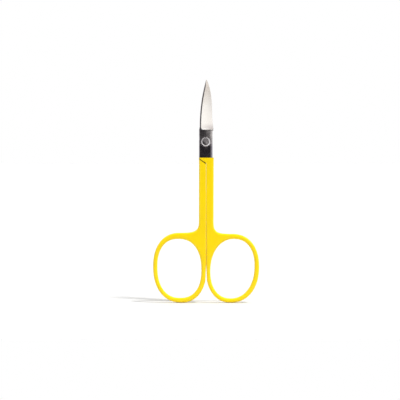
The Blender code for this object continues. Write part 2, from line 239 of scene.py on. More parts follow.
def handle_paths(h, fine):
    """Points of the handle, counter-clockwise seen with the half's own side to the right:
    the shared path, the front layer's top and the back layer's top."""
    p = parting(SHOULDER_IN)
    out = h["shank_top"]
    step = 0.8 if fine else 2.0
    ring_n = 200 if fine else 60
    g = 0.5 * SHOULDER_GAP
    top = COAT_TOP
    z_in, z_out = SHOULDER_IN - g, SHOULDER_OUT - g + 0.05
    a, b = (p, z_in), (out, z_out)
    start, end = math.radians(183.0), math.radians(452.0)
    ring = [oval(*h["ring"], lerp(start, end, i / ring_n)) for i in range(ring_n + 1)]
    ring = [(max(x, parting(z)), z) for x, z in ring]
    low = (h["shank_low"], 33.0)
    p0 = ring[-1]
    flare_n = 36 if fine else 10
    flare = [bezier(p0, (h["flare"][0], p0[1]), (low[0], h["flare"][1]), low, i / flare_n)
             for i in range(1, flare_n + 1)]
    turn = (parting(PART_OPEN_Z), PART_OPEN_Z)
    inside = [(parting(z), z) for _, z in line(a, turn, step)] + line(turn, ring[0], step)
    shared = [a] + inside + ring[1:] + flare
    shared += line(low, (out, COAT_TOP - 4.0), step) + line((out, COAT_TOP - 4.0), b, step * 0.5)
    # front layer: up the outer side, across the top, down the far side and along the foot
    o = h["other"]
    f_out, f_in = (-o, SHOULDER_OUT + g), (-0.10, SHOULDER_IN + g)
    tr = corner((out, top), b, (0.0, top), 0.22)
    tl = corner((-o, top), (0.0, top), f_out, 0.10, 4)
    fo = corner(f_out, (-o, top), f_in, 0.07, 3)
    fi = corner(f_in, f_out, (p, f_in[1]), 0.10, 3)
    front = tr + line(tr[-1], tl[0], 0.45)[:-1] + tl + fo + line(fo[-1], fi[0], 0.4)[:-1] + fi
    front += [(p, f_in[1])]
    stop = (len(tr + line(tr[-1], tl[0], 0.45)[:-1] + tl) - 1, len(front) - 1)
    if not fine:
        # the steel core: the foot and the lap are joined to it separately
        front = line(b, (out, top), 0.5)[:-1] + [(out, top)] + line((out, top), (p, top), 0.8)
        front += line((p, top), a, 0.8)[:-1]
    # back layer: along the stop shoulder
    sh = (0.10, z_in)
    back = line(b, sh, 0.4)[:-1] + [sh]
    return shared, front, back, stop


def hole_path(h, fine):
    n = 200 if fine else 60
    return [oval(*h["hole"], 2.0 * math.pi * i / n) for i in range(n)]


def handle_solid(name, h, inset, interface, fine, mats):
    side = h["side"]
    shared, front, back, stop = handle_paths(h, fine)
    hole = hole_path(h, fine)
    steps = 8 if fine else 3
    full_front = shared + front
    full_back = shared + back
    outer_for_width = shared
    bm = bmesh.new()
    cap = bm.faces.layers.int.new("cap")

    def place(u, z, w):
        return bm.verts.new((side * u * MM, (LAP_Y - side * w) * MM, z * MM))

    def radius(pt, kind, other_path):
        u, z = pt
        if kind == "hole":
            r = min(0.86, 0.47 * nearest(pt, other_path))
        else:
            r = 0.80
            if z < 30.0:
                r = min(r, 0.47 * nearest(pt, other_path))
            if u <= parting(z) + 0.02:
                r = min(r, lerp(0.62, 0.24, smoothstep(14.0, 44.0, z)))
            elif z > 30.0:
                r = lerp(0.80, 0.66, smoothstep(30.0, 40.0, z))
        return r

    def rings_of(pt, nrm, r_in, sign, t, swell):
        """Columns of points from the side wall to the cap edge."""
        r_out = min(r_in * swell, t - 0.05)
        pts = []
        for k in range(steps + 1):
            f = 0.5 * math.pi * k / steps
            d = r_in * (1.0 - math.cos(f)) + inset
            pts.append((pt[0] + nrm[0] * d, pt[1] + nrm[1] * d, sign * (t - r_out + r_out * math.sin(f))))
        return pts

    n_s = len(shared)
    columns_f, columns_b = [], []
    mid = []
    for i, pt in enumerate(full_front):
        nrm = inward(full_front, i)
        if i < n_s:
            r = radius(pt, "outer", hole)
            near_top = smoothstep(COAT_TOP - 1.2, COAT_TOP - 0.2, pt[1])
            if pt[0] > 0.5:
                r = lerp(r, 0.16, near_top)
            else:
                r = lerp(r, 0.14, smoothstep(SHOULDER_IN - 1.2, SHOULDER_IN - 0.1, pt[1]))
        else:
            r = 0.14
        swell = lerp(1.28, 1.0, smoothstep(24.0, 34.0, pt[1]))
        t = half_t(pt[1], inset)
        col = rings_of(pt, nrm, max(0.03, r - inset * 0.6), 1.0, t, swell)
        columns_f.append([place(*c) for c in col])
        side_pt = col[0]
        mid.append(place(side_pt[0], side_pt[1], interface))
    mid_b = {}
    for i, pt in enumerate(full_back):
        nrm = inward(full_back, i)
        if i < n_s:
            r = radius(pt, "outer", hole)
            if pt[0] > 0.5:
                r = lerp(r, 0.16, smoothstep(SHOULDER_OUT - 1.4, SHOULDER_OUT - 0.1, pt[1]))
            else:
                r = lerp(r, 0.14, smoothstep(SHOULDER_IN - 1.2, SHOULDER_IN - 0.1, pt[1]))
        else:
            r = 0.14
        swell = lerp(1.28, 1.0, smoothstep(24.0, 34.0, pt[1]))
        t = half_t(pt[1], inset)
        col = rings_of(pt, nrm, max(0.03, r - inset * 0.6), -1.0, t, swell)
        columns_b.append([place(*c) for c in col])
        if i >= n_s:
            mid_b[i] = place(col[0][0], col[0][1], interface)

    def quad(a, b, c, d, stop_wall=False):
        vs = []
        for v in (a, b, c, d):
            if v not in vs:
                vs.append(v)
        if len(vs) > 2:
            bm.faces.new(vs).material_index = 1 if stop_wall and fine else 0

    nf, nb = len(full_front), len(full_back)
    for i in range(nf):
        j = (i + 1) % nf
        stop_wall = n_s + stop[0] <= i < n_s + stop[1]
        for k in range(steps):
            quad(columns_f[i][k], columns_f[j][k], columns_f[j][k + 1], columns_f[i][k + 1], stop_wall and k < 6)
        quad(mid[i], mid[j], columns_f[j][0], columns_f[i][0], stop_wall)
    for i in range(nb):
        j = (i + 1) % nb
        mi = mid[i] if i < n_s else mid_b[i]
        mj = mid[j] if j < n_s else mid_b[j]
        stop_wall = i >= n_s - 1
        for k in range(steps):
            quad(columns_b[i][k], columns_b[j][k], columns_b[j][k + 1], columns_b[i][k + 1], stop_wall and k < 6)
        quad(mi, mj, columns_b[j][0], columns_b[i][0], stop_wall)
    # finger hole
    hf, hb = [], []
    nh = len(hole)
    for i, pt in enumerate(hole):
        n_in = inward(hole, i)
        nrm = (-n_in[0], -n_in[1])
        r = radius(pt, "hole", outer_for_width)
        swell = lerp(1.22, 1.05, smoothstep(20.0, 27.0, pt[1]))
        t = half_t(pt[1], inset)
        hf.append([place(*c) for c in rings_of(pt, nrm, max(0.03, r - inset * 0.6), 1.0, t, swell)])
        hb.append([place(*c) for c in rings_of(pt, nrm, max(0.03, r - inset * 0.6), -1.0, t, swell)])
    for i in range(nh):
        j = (i + 1) % nh
        for col in (hf, hb):
            for k in range(steps):
                quad(col[i][k], col[j][k], col[j][k + 1], col[i][k + 1])
        quad(hf[i][0], hf[j][0], hb[j][0], hb[i][0])

    def loop_edges(vs):
        out = []
        for a, b in zip(vs, vs[1:] + vs[:1]):
            e = bm.edges.get((a, b))
            if e is None and a is not b:
                e = bm.edges.new((a, b))
            if e is not None:
                out.append(e)
        return out

    def fill(loops, normal):
        edges = [e for vs in loops for e in loop_edges(vs)]
        before = set(bm.faces)
        bmesh.ops.triangle_fill(bm, edges=edges, use_beauty=True, normal=normal)
        new = [f for f in bm.faces if f not in before]
        for f in new:
            f[cap] = 1
        return new

    fill([[c[-1] for c in columns_f], [c[-1] for c in hf]], (0, -side, 0))
    fill([[c[-1] for c in columns_b], [c[-1] for c in hb]], (0, side, 0))
    # sliding face between the layers
    edge_loop = [mid[n_s - 1]] + mid[n_s:] + [mid[0]] + [mid_b[i] for i in range(nb - 1, n_s - 1, -1)]
    edges = loop_edges(edge_loop)
    bmesh.ops.triangle_fill(bm, edges=edges, use_beauty=True, normal=(0, side, 0))
    # slices through the taper and across the wide web, so that the faces follow the thinning
    for z in [TAPER_END + 0.75 * i for i in range(int((TAPER_TOP - TAPER_END) / 0.75) + 1)]:
        faces = [f for f in bm.faces if f[cap] == 1]
        geom = faces + list({e for f in faces for e in f.edges}) + list({v for f in faces for v in f.verts})
        bmesh.ops.bisect_plane(bm, geom=geom, dist=1e-7, plane_co=(0, 0, z * MM), plane_no=(0, 0, 1))
    for v in bm.verts:
        if any(f[cap] == 1 for f in v.link_faces):
            w = side * (LAP_Y - v.co.y / MM)
            t = half_t(v.co.z / MM, inset)
            v.co.y = (LAP_Y - side * math.copysign(t, w)) * MM
    bmesh.ops.remove_doubles(bm, verts=bm.verts, dist=2e-7)
    ngons = [f for f in bm.faces if len(f.verts) > 4]
    if ngons:
        bmesh.ops.triangulate(bm, faces=ngons)
    return new_object(name, bm, mats)


# ---------------------------------------------------------------------------
# Blade and lap
# ---------------------------------------------------------------------------
def blade_left(z):
    t = max(0.0, (z - BLADE_ROOT) / (LENGTH - BLADE_ROOT))
    step = max(0.0, 1.0 - (z - BLADE_ROOT) / 1.5) ** 2
    return BLADE_LEFT + (0.02 - BLADE_LEFT) * t ** 2.24 + (LAP_LEFT - BLADE_LEFT) * step


def blade_right(z):
    t = min(1.0, max(0.0, (LENGTH - z) / (LENGTH - BLADE_ROOT)))
    flare = max(0.0, (BLADE_ROOT + 5.15 - z) / 5.15) ** 1.3
    return 0.14 + (HEEL_RIGHT - HEEL_FLARE - 0.14) * (1.0 - (1.0 - t) ** 4.2) + HEEL_FLARE * flare


def bend(x, z):
    r = math.hypot(x - PIVOT_X, z - PIVOT_Z)
    reach = 90.0 - PIVOT_Z - BEND_START
    return BEND_TIP * (max(0.0, r - BEND_START) / reach) ** 2


def outline_at(z, front):
    if z >= BLADE_ROOT:
        left, right = blade_left(z), blade_right(z)
    else:
        left = LAP_LEFT
        right = lerp(LAP_RIGHT, HEEL_RIGHT, smoothstep(BLADE_ROOT - 0.75, BLADE_ROOT - 0.30, z))
        if front:
            notch = math.exp(-((z - 66.35) / 0.60) ** 4)
            left += 0.15 * notch
    left += 0.27 if z < COAT_TOP - 0.01 else 0.0
    if not front:
        ground = smoothstep(BLADE_ROOT - 0.2, BLADE_ROOT + 0.4, z)
        left += lerp(0.06, 0.10, ground)
        right -= lerp(0.03, 0.10, ground)
    return left, right


def grind(s, width, z, strip, thick, edge_t):
    """Depth ground away at distance s from the spine."""
    plunge_z = BLADE_ROOT - 0.08
    a, b = s - strip, z - plunge_z
    if a <= 0.0 or b <= 0.0:
        return 0.0
    q = a / max(0.05, width - strip)
    facet = (thick - edge_t) * q + 0.045 * math.sin(math.pi * q) * min(1.0, width / 3.0)
    bevel = thick - (0.05 + max(0.0, width - s) * 1.3)
    wheel = 1.40
    d = min(a, b)
    if a < wheel and b < wheel:
        d = wheel - math.hypot(wheel - a, wheel - b)
    if d <= 0.0:
        return 0.0
    run = 1.55 * d * (0.35 + 0.65 * min(1.0, d / 0.35))
    cut = max(facet, bevel)
    k = 0.10
    h = max(0.0, min(1.0, 0.5 + 0.5 * (run - cut) / k))
    return max(0.0, run + (cut - run) * h - k * h * (1.0 - h))


def blade_object(name, front, mats):
    out = -1.0 if front else 1.0
    top = LENGTH - 0.02 if front else LENGTH - 0.37
    zs = [COAT_TOP - 0.08, COAT_TOP - 0.02, COAT_TOP + 0.004, COAT_TOP + 0.10]
    zs += [COAT_TOP + 0.35 + 0.35 * i for i in range(int((69.0 - COAT_TOP - 0.35) / 0.35) + 1)]
    z = zs[-1] + 0.08
    while z < 71.4:
        zs.append(z)
        z += 0.06
    while z < top - 1.2:
        zs.append(z)
        z += 0.28
    zs += [top - 1.2 + 1.2 * i / 14 for i in range(15)]
    bm = bmesh.new()
    rows = []
    kinds = []
    r = 0.07
    for z in zs:
        left, right = outline_at(z, front)
        spine, edge = (left, right) if front else (right, left)
        width = abs(edge - spine)
        direction = 1.0 if edge > spine else -1.0
        rise = max(0.0, (z - BLADE_ROOT) / (LENGTH - BLADE_ROOT))
        thick = lerp(STEEL_T, 0.42, rise ** 1.2)
        strip = min(0.55, 0.24 * width + 0.02)
        edge_t = 0.10
        rr = min(r, 0.2 * width)
        on_blade = smoothstep(BLADE_ROOT, BLADE_ROOT + 1.0, z)
        s_list = [0.0, 0.29 * rr, rr, 0.5 * strip, strip - 0.015, strip + 0.02, strip + 0.10]
        facet_n = 20
        a0, a1 = strip + 0.10, width - 0.20
        if a1 < a0:
            a1 = a0 + 0.02
        s_list += [lerp(a0, a1, j / facet_n) for j in range(1, facet_n + 1)]
        s_list += [width - 0.5 * min(0.2, 0.2 * width) - 0.5 * rr, width - rr, width - 0.29 * rr, width]
        s_list = [min(max(s, 0.0), width) for s in s_list]
        for i in range(1, len(s_list)):
            s_list[i] = max(s_list[i], s_list[i - 1])
        pts = []
        for s in s_list:
            d = thick - grind(s, width, z, strip, thick, edge_t)
            if s < rr:
                d = min(d, thick - rr + math.sqrt(max(0.0, rr * rr - (rr - s) ** 2)))
            if s > width - rr:
                d = min(d, thick - rr + math.sqrt(max(0.0, rr * rr - (s - width + rr) ** 2)))
            # the polished lap rolls over softly towards its edges
            soft = 1.0 - smoothstep(BLADE_ROOT - 0.4, BLADE_ROOT + 0.2, z)
            roll = max(0.0, (s - (width - 1.25)) / 1.25) ** 2 * 0.13
            roll += max(0.0, ((0.45) - s) / 0.45) ** 2 * 0.03
            d -= roll * soft
            pts.append((s, max(d, 0.5 * SLIDE + 0.012)))
        for j in range(15):
            s = width * (1.0 - j / 14)
            hollow = 0.035 * math.sin(math.pi * j / 14) * on_blade * min(1.0, width / 2.0)
            pts.append((s, 0.5 * SLIDE + hollow))
        pts.append((0.0, lerp(0.5 * SLIDE, thick - rr, 0.5)))
        row = []
        for s, d in pts:
            x = spine + direction * s
            y = LAP_Y + out * d - bend(x, z)
            row.append(bm.verts.new((x * MM, y * MM, z * MM)))
        rows.append(row)
        kinds.append((z, strip, width, s_list))
    n = len(rows[0])
    n_outer = len(kinds[0][3])
    for r_i, (low, high) in enumerate(zip(rows, rows[1:])):
        z, strip, width, s_list = kinds[r_i]
        for i in range(n):
            j = (i + 1) % n
            f = bm.faces.new((low[i], low[j], high[j], high[i]))
            ground = 4 <= i < n_outer - 1 and grind(0.5 * (s_list[i] + s_list[i + 1]) + 0.012, width, z + 0.02,
                                                    strip, STEEL_T, 0.10) > 0.0012
            slide = n_outer <= i < n_outer + 15
            f.material_index = 1 if ground else (2 if slide and z > BLADE_ROOT else 0)
    bm.faces.new(rows[0])
    bm.faces.new(rows[-1])
    bmesh.ops.remove_doubles(bm, verts=bm.verts, dist=1e-7)
    bmesh.ops.dissolve_degenerate(bm, edges=bm.edges, dist=1e-7)
    return new_object(name, bm, mats)


def prism(name, points, y0, y1):
    bm = bmesh.new()
    verts = [bm.verts.new((x * MM, y0 * MM, z * MM)) for x, z in points]
    face = bm.faces.new(verts)
    ext = bmesh.ops.extrude_face_region(bm, geom=[face])
    bmesh.ops.translate(bm, verts=[g for g in ext["geom"] if isinstance(g, bmesh.types.BMVert)],
                        vec=(0.0, (y1 - y0) * MM, 0.0))
    return new_object(name, bm)


def turned(name, profile, segments, mats=()):
    """Closed turned solid on the pivot axis; profile is (radius, y), ends on the axis."""
    bm = bmesh.new()
    rings = []
    for rad, y in profile:
        if rad <= 1e-6:
            rings.append([bm.verts.new((PIVOT_X * MM, y * MM, PIVOT_Z * MM))])
        else:
            rings.append([bm.verts.new(((PIVOT_X + rad * math.cos(a)) * MM, y * MM,
                                        (PIVOT_Z + rad * math.sin(a)) * MM))
                          for a in (2.0 * math.pi * k / segments for k in range(segments))])
    for low, high in zip(rings, rings[1:]):
        for k in range(segments):
            j = (k + 1) % segments
            if len(low) == 1:
                bm.faces.new((low[0], high[k], high[j]))
            elif len(high) == 1:
                bm.faces.new((low[k], low[j], high[0]))
            else:
                bm.faces.new((low[k], low[j], high[j], high[k]))
    return new_object(name, bm, mats)


def arc(cx, cy, r, a0, a1, n):
    return [(cx + r * math.cos(math.radians(lerp(a0, a1, i / n))),
             cy + r * math.sin(math.radians(lerp(a0, a1, i / n)))) for i in range(n + 1)]


HEAD_R = 0.5 * (SCREW_HI[0] - SCREW_LO[0])
FACE_Y = LAP_Y - STEEL_T              # front lap's outer face
BACK_Y = LAP_Y + STEEL_T
SEAT_DEEP = 0.45
TAIL_R = 1.35
TAIL_SEAT = 0.35


def steel_object(name, h, front, mats):
    side = h["side"]
    ob = blade_object(name, front, mats)
    o = (FOOT_FRONT if front else FOOT_BACK) - 0.28
    g = 0.5 * SHOULDER_GAP + 0.28
    foot = prism("foot", [(side * x, z) for x, z in (
        (-o + 0.07, COAT_TOP - 0.03), (-0.1, SHOULDER_IN + g), (2.5, SHOULDER_IN + g),
        (2.5, COAT_TOP - 0.03))], LAP_Y - side * 0.5 * SLIDE, LAP_Y - side * (STEEL_T - 0.015))
    core = handle_solid("core", h, 0.28, 0.5 * SLIDE + 0.004, False, ())
    combine(ob, foot, 'UNION')
    combine(ob, core, 'UNION')
    if front:
        tool = turned("bore", [(0, FACE_Y - 1.0), (HEAD_R + 0.28, FACE_Y - 1.0), (HEAD_R + 0.28, FACE_Y - 0.02),
                               (HEAD_R + 0.10, FACE_Y + 0.14), (HEAD_R + 0.10, FACE_Y + SEAT_DEEP),
                               (1.05, FACE_Y + SEAT_DEEP), (1.05, LAP_Y + 1.0), (0, LAP_Y + 1.0)], 96)
    else:
        tool = turned("bore", [(0, LAP_Y - 1.0), (1.05, LAP_Y - 1.0), (1.05, BACK_Y - TAIL_SEAT),
                               (TAIL_R + 0.06, BACK_Y - TAIL_SEAT), (TAIL_R + 0.06, BACK_Y - 0.06),
                               (TAIL_R + 0.14, BACK_Y + 0.02), (TAIL_R + 0.14, BACK_Y + 1.0),
                               (0, BACK_Y + 1.0)], 96)
    combine(ob, tool, 'DIFFERENCE')
    return ob


def screw_object(name, mats):
    top = SCREW_LO[1]
    seat = FACE_Y + SEAT_DEEP - 0.03
    tail = SCREW_HI[1]
    r = HEAD_R
    profile = [(0.0, top + 0.06)]
    # nearly flat middle, a turned groove and a narrow rounded collar round it
    dome = 1.16
    profile += [(dome * k / 8, top + 0.06 + 0.022 * (k / 8) ** 2) for k in range(1, 8)]
    profile += [(dome, top + 0.095), (dome + 0.03, top + 0.14), (dome + 0.04, top + 0.24),
                (dome + 0.08, top + 0.26), (dome + 0.15, top + 0.24)]
    profile += [(x, y) for x, y in ((1.39, top + 0.10), (1.44, top + 0.035), (1.51, top + 0.005),
                                    (1.60, top + 0.01), (1.70, top + 0.06), (r - 0.05, top + 0.14),
                                    (r, top + 0.26))]
    profile += [(r, seat), (1.0, seat), (1.0, BACK_Y - TAIL_SEAT + 0.03), (TAIL_R, BACK_Y - TAIL_SEAT + 0.03),
                (TAIL_R, tail - 0.15), (TAIL_R - 0.05, tail - 0.09), (TAIL_R - 0.18, tail - 0.04),
                (TAIL_R - 0.5, tail - 0.01), (0.0, tail)]
    ob = turned(name, profile, 96, mats)
    bm = bmesh.new()
    bmesh.ops.create_cube(bm, size=1.0)
    bmesh.ops.scale(bm, vec=(2 * 1.22 * MM, 1.0 * MM, 0.34 * MM), verts=bm.verts)
    bmesh.ops.rotate(bm, cent=(0, 0, 0), verts=bm.verts, matrix=Matrix.Rotation(math.radians(-38), 3, 'Y'))
    bmesh.ops.translate(bm, verts=bm.verts, vec=(PIVOT_X * MM, (top + 0.27 - 0.5) * MM, PIVOT_Z * MM))
    slot = new_object("slot_tool", bm)
    combine(ob, slot, 'DIFFERENCE')
    return ob


# ---------------------------------------------------------------------------
# Materials
# ---------------------------------------------------------------------------
class Nodes:
    def __init__(self, name):
        self.mat = bpy.data.materials.new(name)
        self.mat.use_nodes = True
        self.tree = self.mat.node_tree
        self.shader = self.tree.nodes["Principled BSDF"]
        self.coord = self.tree.nodes.new("ShaderNodeTexCoord").outputs["Object"]

    def add(self, kind, **values):
        node = self.tree.nodes.new(kind)
        for key, value in values.items():
            if hasattr(node, key):
                setattr(node, key, value)
            else:
                node.inputs[key].default_value = value
        return node

    def link(self, a, b):
        self.tree.links.new(a, b)

    def mapped(self, scale, location=(0, 0, 0), rotation=(0, 0, 0)):
        m = self.add("ShaderNodeMapping")
        m.inputs["Scale"].default_value = scale
        m.inputs["Location"].default_value = location
        m.inputs["Rotation"].default_value = rotation
        self.link(self.coord, m.inputs["Vector"])
        return m.outputs["Vector"]

    def noise(self, scale, detail=4.0, rough=0.5, vector=None, distortion=0.0):
        n = self.add("ShaderNodeTexNoise")
        n.inputs["Scale"].default_value = scale
        n.inputs["Detail"].default_value = detail
        n.inputs["Roughness"].default_value = rough
        n.inputs["Distortion"].default_value = distortion
        self.link(vector if vector is not None else self.coord, n.inputs["Vector"])
        return n.outputs["Fac"]

    def ramp(self, fac, stops):
        n = self.add("ShaderNodeValToRGB")
        while len(n.color_ramp.elements) < len(stops):
            n.color_ramp.elements.new(0.5)
        for el, (pos, col) in zip(n.color_ramp.elements, stops):
            el.position = pos
            el.color = col if len(col) == 4 else (*col, 1.0)
        self.link(fac, n.inputs["Fac"])
        return n.outputs["Color"]

    def range(self, fac, a, b, lo=0.0, hi=1.0):
        n = self.add("ShaderNodeMapRange")
        n.inputs["From Min"].default_value = lo
        n.inputs["From Max"].default_value = hi
        n.inputs["To Min"].default_value = a
        n.inputs["To Max"].default_value = b
        self.link(fac, n.inputs["Value"])
        return n.outputs["Result"]

    def math(self, op, a, b=None, c=None):
        n = self.add("ShaderNodeMath")
        n.operation = op
        for i, x in enumerate((a, b, c)):
            if x is None:
                continue
            if isinstance(x, (int, float)):
                n.inputs[i].default_value = x
            else:
                self.link(x, n.inputs[i])
        return n.outputs[0]

    def mix(self, fac, a, b):
        n = self.add("ShaderNodeMix")
        n.data_type = 'RGBA'
        if isinstance(fac, (int, float)):
            n.inputs[0].default_value = fac
        else:
            self.link(fac, n.inputs[0])
        for sock, x in ((n.inputs[6], a), (n.inputs[7], b)):
            if isinstance(x, (tuple, list)):
                sock.default_value = x if len(x) == 4 else (*x, 1.0)
            else:
                self.link(x, sock)
        return n.outputs[2]

    def bump(self, height, strength, distance, normal=None):
        n = self.add("ShaderNodeBump")
        n.inputs["Strength"].default_value = strength
        n.inputs["Distance"].default_value = distance
        self.link(height, n.inputs["Height"])
        if normal is not None:
            self.link(normal, n.inputs["Normal"])
        return n.outputs["Normal"]

    def axis(self, name):
        n = self.add("ShaderNodeSeparateXYZ")
        self.link(self.coord, n.inputs[0])
        return n.outputs[name]


def coating(name):
    k = Nodes(name)
    s = k.shader
    s.inputs["Metallic"].default_value = 0.0
    s.inputs["IOR"].default_value = 1.48
    s.inputs["Coat Weight"].default_value = 0.08
    s.inputs["Coat Roughness"].default_value = 0.14
    s.inputs["Coat IOR"].default_value = 1.5
    s.inputs["Specular IOR Level"].default_value = 0.30
    soft = k.noise(90.0, 3.0, 0.5)
    fine = k.noise(1400.0, 4.0, 0.55)
    tone = k.ramp(soft, [(0.30, (0.930, 0.664, 0.0003)), (0.70, (0.962, 0.698, 0.0005))])
    speck = k.range(fine, 0.0, 1.0, 0.62, 0.80)
    tone = k.mix(k.math('MULTIPLY', speck, 0.10), tone, (0.80, 0.52, 0.01))
    k.link(tone, s.inputs["Base Color"])
    rough = k.math('ADD', k.range(fine, 0.24, 0.36), k.range(soft, -0.03, 0.05))
    k.link(rough, s.inputs["Roughness"])
    peel = k.noise(900.0, 2.0, 0.4)
    nrm = k.bump(peel, 0.10, 0.00003)
    nrm = k.bump(fine, 0.06, 0.00001, nrm)
    k.link(nrm, s.inputs["Normal"])
    return k.mat


def polished_steel(name):
    """Polished steel whose dark base colour is a painted dark reflection, lightened by a painted sheen that also
    comes with more roughness, high on the neck, toward the blade and the right side.
    """
    k = Nodes(name)
    s = k.shader
    s.inputs["Metallic"].default_value = 1.0
    s.inputs["Anisotropic"].default_value = 0.25
    cloud = k.noise(420.0, 4.0, 0.6)
    blotch = k.noise(260.0, 2.0, 0.5, k.mapped((1.0, 1.0, 0.7), location=(0.003, 0.0, 0.002)))
    lines = k.noise(1.0, 3.0, 0.6, k.mapped((9000.0, 9000.0, 260.0)))
    # Mask for the painted sheen: lighter and rougher high on the neck and toward its right side
    height = k.range(k.axis("Z"), 0.0, 1.0, 0.0625, 0.0695)
    across = k.range(k.axis("X"), 0.45, 1.0, -0.0012, 0.0016)
    painted_sheen_and_haze = k.math('MULTIPLY', k.math('MULTIPLY', height, across), k.range(blotch, 0.45, 1.25, 0.35, 0.65))
    # the dark tones are a painted dark reflection, the lighter ones the painted sheen
    low = k.ramp(cloud, [(0.30, (0.185, 0.168, 0.205)), (0.70, (0.340, 0.308, 0.318))])
    high = k.ramp(cloud, [(0.30, (0.560, 0.525, 0.510)), (0.70, (0.760, 0.715, 0.695))])
    k.link(k.mix(painted_sheen_and_haze, low, high), s.inputs["Base Color"])
    rough = k.math('ADD', k.range(cloud, 0.09, 0.17), k.range(lines, -0.02, 0.05))
    rough = k.math('ADD', rough, k.math('MULTIPLY', painted_sheen_and_haze, 0.19))
    k.link(rough, s.inputs["Roughness"])
    nrm = k.bump(lines, 0.10, 0.000004)
    nrm = k.bump(cloud, 0.20, 0.00002, nrm)
    k.link(nrm, s.inputs["Normal"])
    return k.mat


def ground_steel(name):
    k = Nodes(name)
    s = k.shader
    s.inputs["Metallic"].default_value = 1.0
    s.inputs["Anisotropic"].default_value = 0.2
    cloud = k.noise(300.0, 4.0, 0.55)
    lines = k.noise(1.0, 4.0, 0.6, k.mapped((700.0, 700.0, 14000.0), rotation=(0, math.radians(12), 0)))
    tone = k.ramp(cloud, [(0.30, (0.930, 0.880, 0.825)), (0.70, (0.985, 0.945, 0.900))])
    # Painted reflection: the facet turns beige-grey toward the blade's point
    point_painted_reflection = k.range(k.axis("Z"), 0.0, 1.0, 0.0795, 0.0870)
    tone = k.mix(k.math('MULTIPLY', point_painted_reflection, 0.8), tone, (0.80, 0.715, 0.640))
    # Painted shade: a darker band across the facet just above the grind's lower end, stronger toward the right
    root_painted_shade = k.range(k.axis("Z"), 1.0, 0.0, 0.0708, 0.0724)
    root_painted_shade = k.math('MULTIPLY', root_painted_shade, k.range(k.axis("Z"), 0.0, 1.0, 0.0702, 0.0706))
    root_painted_shade = k.math('MULTIPLY', root_painted_shade, k.range(k.axis("X"), 0.15, 1.0, -0.0018, 0.0014))
    tone = k.mix(k.math('MULTIPLY', root_painted_shade, 0.95), tone, (0.70, 0.640, 0.620))
    # Painted highlight: a bright line along the grind's lower end
    plunge_painted_highlight = k.range(k.axis("Z"), 1.0, 0.0, 0.0701, 0.0704)
    tone = k.mix(plunge_painted_highlight, tone, (1.0, 0.98, 0.96))
    k.link(tone, s.inputs["Base Color"])
    rough = k.math('ADD', k.range(lines, 0.18, 0.30), k.range(cloud, -0.03, 0.04))
    k.link(rough, s.inputs["Roughness"])
    nrm = k.bump(lines, 0.22, 0.000006)
    k.link(nrm, s.inputs["Normal"])
    return k.mat


def sliding_steel(name):
    k = Nodes(name)
    s = k.shader
    s.inputs["Metallic"].default_value = 1.0
    lines = k.noise(1.0, 4.0, 0.6, k.mapped((12000.0, 2000.0, 500.0)))
    tone = k.ramp(lines, [(0.30, (0.60, 0.59, 0.58)), (0.70, (0.72, 0.71, 0.70))])
    k.link(tone, s.inputs["Base Color"])
    k.link(k.range(lines, 0.22, 0.36), s.inputs["Roughness"])
    k.link(k.bump(lines, 0.15, 0.000005), s.inputs["Normal"])
    return k.mat


def dark_stop_material(name):
    """Stop face on the walls of the narrow gap at the stop shoulder: very dark brown, partly metallic, finely mottled
    steel.
    """
    k = Nodes(name)
    s = k.shader
    s.inputs["Metallic"].default_value = 0.6
    stop_mottle = k.noise(2600.0, 4.0, 0.6)
    tone = k.ramp(stop_mottle, [(0.30, (0.060, 0.030, 0.006)), (0.70, (0.130, 0.070, 0.014))])
    k.link(tone, s.inputs["Base Color"])
    k.link(k.range(stop_mottle, 0.45, 0.70), s.inputs["Roughness"])
    k.link(k.bump(stop_mottle, 0.3, 0.00001), s.inputs["Normal"])
    return k.mat


def screw_steel(name):
    k = Nodes(name)
    s = k.shader
    s.inputs["Metallic"].default_value = 1.0
    centre = k.mapped((1, 1, 1), location=(-PIVOT_X * MM, -LAP_Y * MM, -PIVOT_Z * MM))
    sep = k.add("ShaderNodeSeparateXYZ")
    k.link(centre, sep.inputs[0])
    rr = k.math('SQRT', k.math('ADD', k.math('MULTIPLY', sep.outputs[0], sep.outputs[0]),
                               k.math('MULTIPLY', sep.outputs[2], sep.outputs[2])))
    rings = k.math('SINE', k.math('MULTIPLY', rr, 95000.0))
    cloud = k.noise(900.0, 3.0, 0.5)
    collar = k.range(rr, 0.0, 1.0, 0.00128, 0.00140)
    # Painted shadow: the middle of the head darkens to near black in a crescent on its lower left
    low_left = k.math('ADD', k.math('MULTIPLY', sep.outputs[0], 0.80), k.math('MULTIPLY', sep.outputs[2], 0.60))
    shade = k.range(k.math('ADD', low_left, k.range(cloud, -0.0002, 0.0002)), 0.12, 1.0, -0.0010, -0.0001)
    middle = k.ramp(cloud, [(0.30, (0.27, 0.25, 0.255)), (0.70, (0.47, 0.44, 0.445))])
    middle = k.mix(shade, (0.07, 0.062, 0.066), middle)
    bright = k.ramp(cloud, [(0.30, (0.86, 0.84, 0.845)), (0.70, (0.97, 0.95, 0.955))])
    # Painted highlight: the collar is lighter toward the lower right and greyer toward the upper left
    low_right = k.math('SUBTRACT', k.math('MULTIPLY', sep.outputs[0], 0.60), k.math('MULTIPLY', sep.outputs[2], 0.80))
    bright = k.mix(k.range(low_right, 0.55, 0.0, -0.0017, 0.0010), bright, (0.36, 0.34, 0.345))
    k.link(k.mix(collar, middle, bright), s.inputs["Base Color"])
    k.link(k.math('SUBTRACT', k.range(cloud, 0.34, 0.48), k.math('MULTIPLY', collar, 0.25)),
           s.inputs["Roughness"])
    nrm = k.bump(rings, 0.05, 0.000003)
    nrm = k.bump(cloud, 0.12, 0.00001, nrm)
    k.link(nrm, s.inputs["Normal"])
    return k.mat


